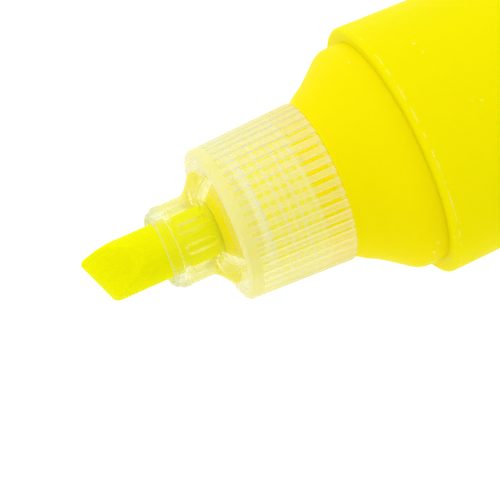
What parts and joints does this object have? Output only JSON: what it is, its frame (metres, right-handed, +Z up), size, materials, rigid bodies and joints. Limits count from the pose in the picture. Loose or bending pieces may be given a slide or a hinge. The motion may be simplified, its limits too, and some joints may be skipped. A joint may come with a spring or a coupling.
{
  "type": "retractable highlighter",
  "caption": "Wide oval highlighter with a chisel nib, a clear nose tube held by a ribbed screw collar, and a rear knob that draws the nib in by half a turn.",
  "frame": {"origin": "centre of the flat rear face, on the pen's axis", "axes": "+X along the pen towards the nib, +Z up with the oval barrel lying on its flat side"},
  "size_m": [0.1243, 0.0246, 0.02],
  "materials": {
    "yellow_shell": "injection-moulded fluorescent yellow polypropylene, smooth with fine scuffs",
    "clear_collar": "translucent natural polypropylene, faintly yellow",
    "clear_nose": "clear polypropylene stained by the ink",
    "knob_plastic": "translucent natural polypropylene, faintly yellow",
    "felt": "bonded polyester fibre soaked in yellow-green ink",
    "reservoir_fibre": "bundled polyester fibre soaked in ink",
    "film": "thin clear film",
    "cartridge_plastic": "natural white polypropylene",
    "mechanism_plastic": "natural acetal",
    "seal_rubber": "pale silicone rubber",
    "steel": "drawn stainless wire"
  },
  "bodies": {
    "barrel_assembly": {"barrel": "yellow_shell", "shoulder": "yellow_shell", "nose_gasket": "seal_rubber", "rear_cover": "yellow_shell", "guide_sleeve": "mechanism_plastic"},
    "knob": {"twist_knob": "knob_plastic", "cam_sleeve": "mechanism_plastic", "knob_end_cap": "yellow_shell", "knob_friction_ring": "seal_rubber", "knob_retaining_ring": "steel"},
    "nib_unit": {"nib": "felt", "nib_holder": "yellow_shell", "holder_seal": "seal_rubber", "cartridge_tube": "cartridge_plastic", "ink_reservoir": "reservoir_fibre", "reservoir_wrap": "film", "cartridge_plug": "cartridge_plastic", "follower_carrier": "mechanism_plastic", "cross_pin": "steel"},
    "nose": {"nose_tube": "clear_nose"},
    "collar": {"screw_collar": "clear_collar"}
  },
  "joints": [
    {"name": "knob_turn", "type": "hinge", "parent": "barrel_assembly", "child": "knob", "pos_m": [0, 0, 0], "axis": [1, 0, 0], "range_deg": [-180, 0]},
    {"name": "nib_slide", "type": "slide", "parent": "barrel_assembly", "child": "nib_unit", "axis": [1, 0, 0], "range_m": [-0.008, 0]},
    {"name": "nose_lift", "type": "slide", "parent": "barrel_assembly", "child": "nose", "axis": [1, 0, 0], "range_m": [0, 0.0045]},
    {"name": "collar_turn", "type": "hinge", "parent": "nose", "child": "collar", "pos_m": [0.107, 0, 0], "axis": [1, 0, 0], "range_deg": [0, 1080]}
  ],
  "couplings": [
    {"joint": "knob_turn", "follows": "nib_slide", "rad_per_m": 392.7},
    {"joint": "collar_turn", "follows": "nose_lift", "rad_per_m": 4188.8}
  ]
}
